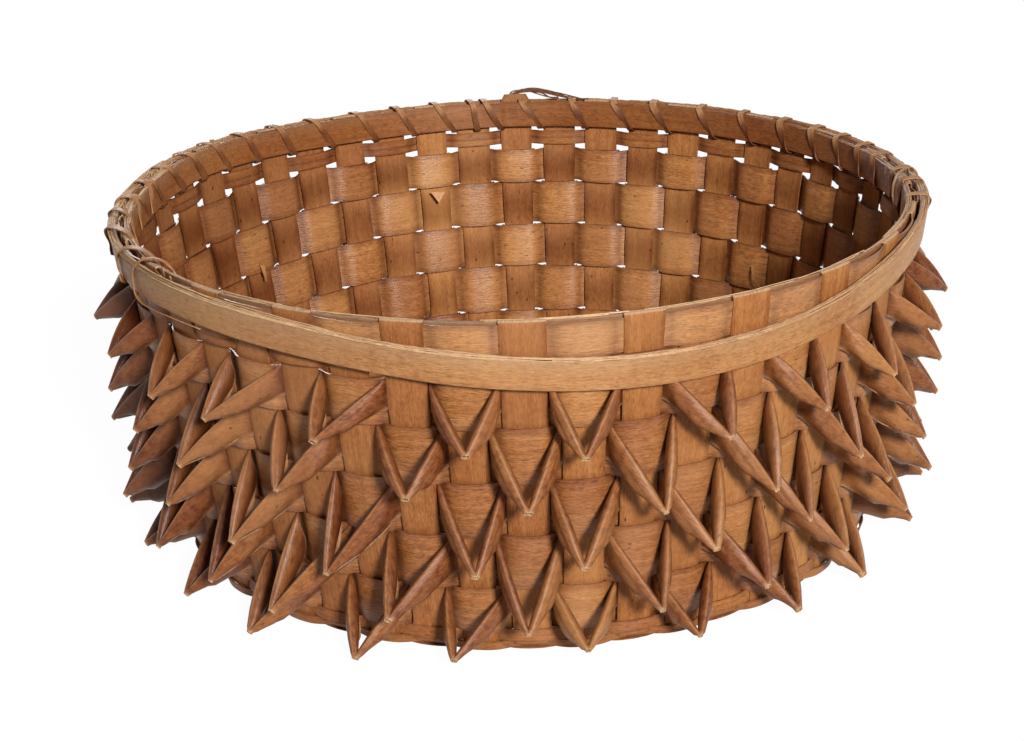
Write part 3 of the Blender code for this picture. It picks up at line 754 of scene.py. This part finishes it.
base_sheets = {"base_weaver_1": Sheets(), "base_weaver_2": Sheets(), "base_rounds": Sheets()}
for index in range(23):
    radius = 0.0385 + index * 0.00446
    name = "base_rounds"
    for wide_name, low, high in (("base_weaver_1", 0.0547, 0.0674), ("base_weaver_2", 0.1102, 0.1229)):
        if low - 0.001 < radius < high + 0.001:
            name = wide_name
    add_base_round(base_sheets[name], radius, 4.1 * MM, index % 2, 200 + index)
for name, sheets in base_sheets.items():
    nodes = [name] if name != "base_rounds" else []
    sheets.piece(f"ash_{name}", narrow_ash, 0.5 * MM, "narrow_ash", *nodes)


# ---------------------------------------------------------------- band at the rim
# A wide weaver stands at the top of the wall. Every other stake is folded
# inward over its upper edge.
sheets = Sheets()
add_weaver(
    sheets, 1,
    lambda angle: 144.2 * MM + 0.3 * MM * ripple(angle, 81, (6, 13, 21, 30)),
    lambda angle: (132.6 - 2.6 * np.clip(2 * np.cos(angle - 0.2), 0, 1)) * MM,
    0.0, 1.05, 82, cup=0.05, pinch=0.15, across=6, worn=0.16,
)
sheets.piece("ash_top_band", weaver_ash, 0.65 * MM, "weaver_ash", "top_band")


# ---------------------------------------------------------------- hoops
# An inner and an outer hoop of thick ash clamp the rim, with a thinner liner
# under the outer one. Along the front, where the lashing is lost, the outer
# hoop and its liner have slid down.
HOOP_LOW, HOOP_HIGH = 132.5, 145.0
RIM_RADIUS = 175.0 * MM
hoop_ash = ash("hoop_ash", (0.40, 0.175, 0.064), (0.56, 0.280, 0.108), (0.67, 0.38, 0.165), 0.45, 0.5, 0.25,
               (0.52, 0.36, 0.22))
inner_ash = ash("inner_hoop_ash", (0.23, 0.075, 0.020), (0.34, 0.122, 0.034), (0.44, 0.19, 0.065), 0.42, 0.3, 0.3,
                (0.40, 0.27, 0.17))
liner_ash = ash("liner_ash", (0.25, 0.088, 0.026), (0.38, 0.152, 0.048), (0.50, 0.24, 0.09), 0.48, 0.4, 0.4,
                (0.66, 0.44, 0.26))
slip_azimuth = np.radians([-180, -62, -50, -43, -35, -24, -15, -3, 11.6, 28, 40, 50, 60, 70, 80, 180])
slip_drop = np.array([0, 0, 0.5, 1.2, 2.6, 4.8, 9.2, 13.0, 16.4, 16.2, 12.7, 8.4, 3.4, 0.9, 0, 0])


def in_place(angle):
    return 0 * angle


def slip(angle):
    """How far the outer hoop has slid down, in millimetres."""
    angle = (np.asarray(angle) + math.pi) % (2 * math.pi) - math.pi
    near = np.radians(np.linspace(-9, 9, 13))
    return np.mean([np.interp(angle + turn, slip_azimuth, slip_drop) for turn in near], axis=0)


def add_hoop(sheets, profile, drop, seed, rough, tone=0.0, start=math.pi, lap=0.0, samples=1200):
    """A ring with a closed profile of offsets and heights, and a rough sawn top edge.

    With a lap its two ends are thinned and lie on each other, the last one inside.
    """
    gone = np.linspace(0, 2 * math.pi + lap, samples + 1)
    angle = start - gone
    profile = np.array(profile)
    low, high = profile[:, 1].min(), profile[:, 1].max()
    inside, outside = profile[:, 0].min(), profile[:, 0].max()
    on_top = np.clip((profile[:, 1] - high + 1.2) / 1.2, 0, 1)
    fray = np.convolve(np.random.default_rng(seed).normal(0, 1, samples + 1), [0.3, 0.4, 0.3], "same")
    fray[-1] = fray[0]
    offset = profile[:, 0] + (0.18 * ripple(angle, seed, (7, 12, 19)) + 0.05 * fray)[:, None]
    if lap:
        first = np.clip(gone / lap, 0.1, 1)[:, None]
        last = np.clip((gone[-1] - gone) / lap, 0.1, 1)[:, None]
        offset = np.where(first < 1, outside - (outside - offset) * first, offset)
        offset = np.where(last < 1, inside - 0.3 + (offset - inside) * last, offset)
        angle = angle[:, None] + 0.045 * (profile[:, 1] - low) / (high - low) * np.clip(1 - last / 0.2, 0, 1)
    else:
        angle = angle[:, None] + 0 * offset
    ring = angle[:, 0]
    wobble = (0.2 * ripple(ring, seed + 1, (11, 17, 29, 43)) + 0.13 * fray)[:, None]
    below = np.clip((high - profile[:, 1]) / (high - low), 0, 1)
    z = profile[:, 1] + wobble * on_top - drop(ring)[:, None] + 0.2 * ripple(ring, seed + 2, (5, 9))[:, None] * below
    grid = on_wall(angle, z * MM, offset * MM)
    if not lap:
        grid[-1] = grid[0]
    reach = np.concatenate(([0], np.cumsum(np.linalg.norm(np.diff(profile, axis=0), axis=1)))) * MM
    side = 2 * (profile[:, 1] - low) / (high - low) - 1
    tones = tone + 0.4 * ripple(ring, seed + 3, (2, 5, 9))
    worn = on_top * rough * np.clip(0.55 + 0.5 * np.cos(ring + 0.6), 0.12, 1)[:, None]
    sheets.add(grid, gone[:, None] * RIM_RADIUS + seed, reach, side, tones[:, None], worn)


def slab(inside, outside, low, high, soft=0.35):
    """A profile with softened corners, from the inner lower corner up and round."""
    middle = (low + high) / 2
    return [
        (inside, low + soft), (inside, middle), (inside, high - soft), (inside + soft, high),
        ((inside + outside) / 2, high + 0.1), (outside - soft, high), (outside, high - soft), (outside, middle),
        (outside, low + soft), (outside - soft, low), (inside + soft, low), (inside, low + soft),
    ]


sheets = Sheets()
add_hoop(sheets, slab(-4.2, -1.7, HOOP_LOW + 0.1, HOOP_HIGH + 0.1, 0.5), in_place, 101, 1.0, 0.1,
         math.radians(182), math.radians(22))
sheets.piece("ash_inner_hoop", inner_ash, 0, "hoop_ash", "inner_hoop")
sheets = Sheets()
add_hoop(sheets, slab(1.7, 3.2, HOOP_LOW + 0.2, HOOP_HIGH), lambda angle: np.maximum(slip(angle) - 0.7, 0), 111, 1.0)
sheets.piece("ash_outer_hoop_liner", liner_ash, 0, "liner_ash", "outer_hoop_liner")
sheets = Sheets()
add_hoop(sheets, slab(3.6, 5.3, HOOP_LOW, HOOP_HIGH), slip, 121, 0.6, 0.1)
sheets.piece("ash_outer_hoop", hoop_ash, 0, "hoop_ash", "outer_hoop")


# ---------------------------------------------------------------- loose fibres
# Fibres of the hoops and of the liner that have come loose along their sawn
# upper edges, short ones all along the front and longer ones at the left.
both_edges = np.array((-0.5, 0.5))


def add_splinters(sheets, count, seed, low, high, top, drop, spread):
    chance = random.Random(seed)
    for _ in range(count):
        start, run = math.radians(chance.uniform(-112, 100)), chance.uniform(0.04, 0.30)
        angle = start + np.linspace(0, run, 14)
        bow = np.sin(np.linspace(0, math.pi, 14)) * chance.uniform(0.0, 0.5)
        offset = chance.uniform(low, high) + bow * chance.uniform(-1, 1)
        z = top + chance.uniform(-spread, 0.25) + bow * 0.6 - drop(angle)
        half = chance.uniform(0.14, 0.32)
        edges = [on_wall(angle, (z + side * half * 0.4) * MM, (offset + side * half) * MM) for side in (-1, 1)]
        tone, worn = chance.uniform(-0.6, 1), chance.uniform(0.2, 0.6)
        widths = np.array((-half, half)) * MM
        sheets.add(np.stack(edges, 1), angle[:, None] * RIM_RADIUS, widths, both_edges, tone, worn)


fibre_ash = ash("fibre_ash", (0.50, 0.28, 0.13), (0.70, 0.44, 0.22), (0.82, 0.58, 0.34), 0.5, 0.1, 0.2)
sheets = Sheets()
add_splinters(sheets, 60, 301, -4.1, -1.8, 145.2, in_place, 0.1)
add_splinters(sheets, 100, 302, 1.8, 5.2, 145.1, slip, 0.4)
long_fibres = (
    (-84, -40, 5.0, 0.5, 0.30), (-76, -22, 4.3, 1.0, 0.26), (-70, -30, 3.5, 1.5, 0.34), (-58, -12, 5.2, 0.3, 0.22),
    (-50, -20, 2.7, 1.6, 0.30), (-36, 6, 4.8, 0.5, 0.24), (-20, 22, 4.0, 0.7, 0.28), (8, 46, 4.9, 0.4, 0.22),
    (30, 66, 3.8, 0.9, 0.30),
)
for first, last, offset, rise, half in long_fibres:
    angle = np.radians(np.linspace(first, last, 60))
    bow = np.sin(np.linspace(0, math.pi, 60))
    z = 144.9 - slip(angle) + rise * bow + 0.15 * ripple(angle, first + 100, (31, 47, 71))
    edges = [
        on_wall(angle, (z + side * half * 0.7) * MM, (offset + side * half * 0.7 + 0.3 * bow) * MM) for side in (-1, 1)
    ]
    sheets.add(np.stack(edges, 1), angle[:, None] * RIM_RADIUS, np.array((-half, half)) * MM, both_edges, 0.4, 0.25)
sheets.piece("ash_hoop_splinters", fibre_ash, 0.3 * MM, "hoop_ash")


# ---------------------------------------------------------------- broken stake ends
# The stakes that aren't folded end between the hoops. At the left, where the
# wood is brittle, short torn stubs of them stand up.
sheets = Sheets()
stub_chance = random.Random(404)
root_height = 142.0
for _ in range(34):
    turn = math.radians(stub_chance.uniform(-125, -52))
    half = stub_chance.uniform(0.5, 1.8) / 175
    offset, high = stub_chance.uniform(-1.4, 1.4), stub_chance.uniform(144.6, 147.2)
    angle = turn + half * np.linspace(-1, 1, 5)
    jag = np.array([stub_chance.uniform(-0.9, 0.5) for _ in range(5)])
    rows = [
        on_wall(angle, (root_height + (high - root_height + jag) * part) * MM, (offset - 0.5 * part) * MM)
        for part in (0, 0.4, 0.75, 1)
    ]
    # The torn tops are lighter, and the stubs are darker towards their roots.
    torn, darker_at_root = np.array((0, 0, 0.3, 0.9))[:, None], np.array((1, 0.6, 0.2, 0))[:, None]
    sheets.add(np.stack(rows, 0), np.linspace(0, 0.004, 4)[:, None], angle * RIM_RADIUS, np.linspace(-1, 1, 5),
               stub_chance.uniform(-1, 0.8), torn, darker_at_root)
sheets.piece("ash_broken_stake_ends", stake_ash, 0.5 * MM, "stake_ash")


# ---------------------------------------------------------------- lashing
# One long narrow splint is wound over both hoops, through each gap between
# the stakes. Most of it is gone along the front, and its ends are loose.
lashing_ash = ash("lashing_ash", (0.29, 0.105, 0.030), (0.44, 0.190, 0.062), (0.58, 0.32, 0.14), 0.42, 0.2, 0.45)
RIM_CORE = (0.55, 138.7)  # offset and height of the middle of what is lashed


def ribbon(sheets, line, widths, seed, tone, worn=0.12, dirt_and_shade=0.0):
    """A thin strip along a line of angles, offsets and heights, flat to the rim's core."""
    line = np.array(line)
    path = on_wall(line[:, 0], line[:, 2] * MM, line[:, 1] * MM)
    away = line[:, 1:] - np.array(RIM_CORE)
    away /= np.linalg.norm(away, axis=1, keepdims=True)
    normal = around(line[:, 0], away[:, 0], away[:, 1])
    way = np.gradient(path, axis=0)
    side = np.cross(way, normal)
    side /= np.linalg.norm(side, axis=1, keepdims=True)
    share = np.linspace(-1, 1, 4)
    wide = np.broadcast_to(widths, (len(line),)) * MM / 2
    grid = path[:, None] + side[:, None] * (share[:, None] * wide[:, None, None])
    gone = np.concatenate(([0.0], np.cumsum(np.linalg.norm(np.diff(path, axis=0), axis=1))))
    tone, worn, dirt_and_shade = (np.broadcast_to(values, (len(line),))[:, None] for values in (tone, worn, dirt_and_shade))
    sheets.add(grid, gone[:, None] + seed * 0.77, share * wide[:, None], share, tone, worn, dirt_and_shade)


lash_chance = random.Random(5)
EXTRA_TURN = 24.9  # an upright second turn behind the sprung stake
lash_feet = (10.4, 11.45, 12.4, 13.5, 14.3, 15.15, 16.05, 17.05, 18.1, 19.15, 20.3, 21.25, 22.35, 23.4, 24.35,
             EXTRA_TURN, 25.45, 26.4, 27.35, 28.45, 29.55, 30.55, 31.5, 32.4, 33.25, 34.2, 35.1)
route, widths = [], []
for foot, next_foot in zip(lash_feet, lash_feet[1:] + (36.0,)):
    slant = lash_chance.uniform(0.28, 0.44) if foot != EXTRA_TURN else 0.1
    above = foot + slant
    wide = 3.4 + lash_chance.uniform(-0.5, 0.4)
    bump = lash_chance.uniform(0.0, 0.5)
    for turn, offset, z in (
        (foot - 0.02, -2.4, 131.2), (foot, -4.6, 132.0), (foot + 0.5 * slant, -4.65, 138.6),
        (above - 0.04, -4.6, 144.6), (above, -3.4, 146.1), (above + 0.02, 0.5, 146.2 + bump),
        (above + 0.04, 4.4, 146.0 + bump * 0.6), (above + 0.08, 5.8, 144.2),
        (above * 0.5 + next_foot * 0.5, 5.85, 139.0), (next_foot - 0.05, 5.7, 132.4),
        (next_foot - 0.04, 4.0, 131.3), (next_foot - 0.03, 0.5, 131.1),
    ):
        route.append((turn * STEP, offset, z))
        widths.append(wide)
route, widths = smoothed(route, 2), smoothed(np.array(widths)[:, None], 2)[:, 0]
# Over the rim the lashing is lighter, a painted highlight, and towards its feet it is darker, painted shade; on the
# outside its tone is a little higher.
on_rim = np.clip((route[:, 2] - 140.5) / 5.0, 0, 1)
sheets = Sheets()
ribbon(sheets, route, widths, 1, -1.0 + 1.7 * on_rim + 0.3 * (route[:, 1] > 2), worn=0.03 + 0.25 * on_rim ** 2,
       dirt_and_shade=0.75 * (1 - on_rim) ** 2)
# Slack loops as azimuths in degrees, offsets and heights, with width and tone.
for line, wide, tone in (
    (((-97, -4.8, 134.0), (-99, -4.9, 143.0), (-99.5, -3.0, 146.8), (-100, 1.0, 147.4), (-100, 4.4, 146.2),
      (-99, 5.7, 143.0), (-97, 5.8, 134.0)), 2.8, 0.3),
    (((-89, -4.8, 134.0), (-91.5, -4.9, 143.0), (-92, -3.0, 146.8), (-92.5, 1.0, 147.4), (-92.5, 4.8, 146.4),
      (-91.5, 6.2, 143.0), (-90, 6.0, 137.0), (-89, 5.8, 132.0)), 2.8, 0.5),
    (((-80, -4.8, 134.0), (-83, -4.9, 143.0), (-84, -3.0, 146.9), (-85.5, 1.0, 147.8), (-87, 5.2, 146.2),
      (-88.5, 6.9, 142.0), (-89, 6.6, 136.0), (-89, 6.0, 131.5)), 2.8, 0.6),
    (((-70, -4.8, 134.0), (-72, -4.9, 143.0), (-73, -3.2, 147.0), (-75.5, 1.0, 148.4), (-79, 5.2, 146.4),
      (-81.5, 6.9, 141.0), (-82, 6.4, 135.0), (-81, 6.0, 131.0)), 3.4, 0.5),
    (((-58, -4.8, 138.0), (-60, -5.0, 143.5), (-61.5, -4.0, 147.6), (-64, 0.0, 149.6), (-66.5, 4.6, 147.2),
      (-68, 6.4, 142.0), (-68.5, 6.3, 135.5), (-67.5, 6.2, 131.6)), 3.8, 0.5),
    (((-54, -4.8, 141.0), (-55, -5.2, 145.5), (-57, -3.0, 149.4), (-59, 2.0, 149.0), (-60.5, 5.8, 144.5),
      (-61.5, 6.6, 138.0), (-61.5, 6.6, 133.0), (-59.5, 6.5, 129.6), (-56, 6.2, 129.8), (-51, 6.1, 130.6),
      (-45, 6.0, 130.4)), 2.6, 0.8),
    (((84, -5.0, 133.0), (85, -7.9, 138.0), (87, -8.8, 143.2), (90, -6.0, 147.4), (92.5, 0.0, 149.0),
      (93.5, 4.2, 147.0), (92.5, 5.9, 143.6), (91.5, 5.9, 139.5)), 1.5, 0.6),
):
    line = [(math.radians(azimuth), offset, z) for azimuth, offset, z in line]
    ribbon(sheets, smoothed(line, 3), wide, wide, tone)
# Dark frayed strands in an arch over the rim at the back.
arch_start = 181.0
arch = ((arch_start, 0.5, 146.5), (179.8, 0.7, 149.2), (177.6, 0.9, 150.6), (175.0, 1.0, 150.2), (172.4, 0.8, 148.6),
        (169.6, 0.6, 146.6), (167.2, 0.4, 145.6))
for strand in range(9):
    reach, turned = lash_chance.uniform(0.5, 1.0), lash_chance.uniform(-1.0, 1.0)
    line = []
    for azimuth, offset, z in arch:
        azimuth = arch_start + (azimuth - arch_start) * reach + lash_chance.uniform(-0.5, 0.5)
        line.append((math.radians(azimuth), offset + turned, z + lash_chance.uniform(-0.9, 0.9)))
    wide = lash_chance.uniform(0.5, 1.3)
    ribbon(sheets, smoothed(line, 3), wide, strand, -1.0, dirt_and_shade=0.8)
sheets.piece("ash_rim_lashing", lashing_ash, 0.5 * MM, "lashing_ash", "rim_lashing")
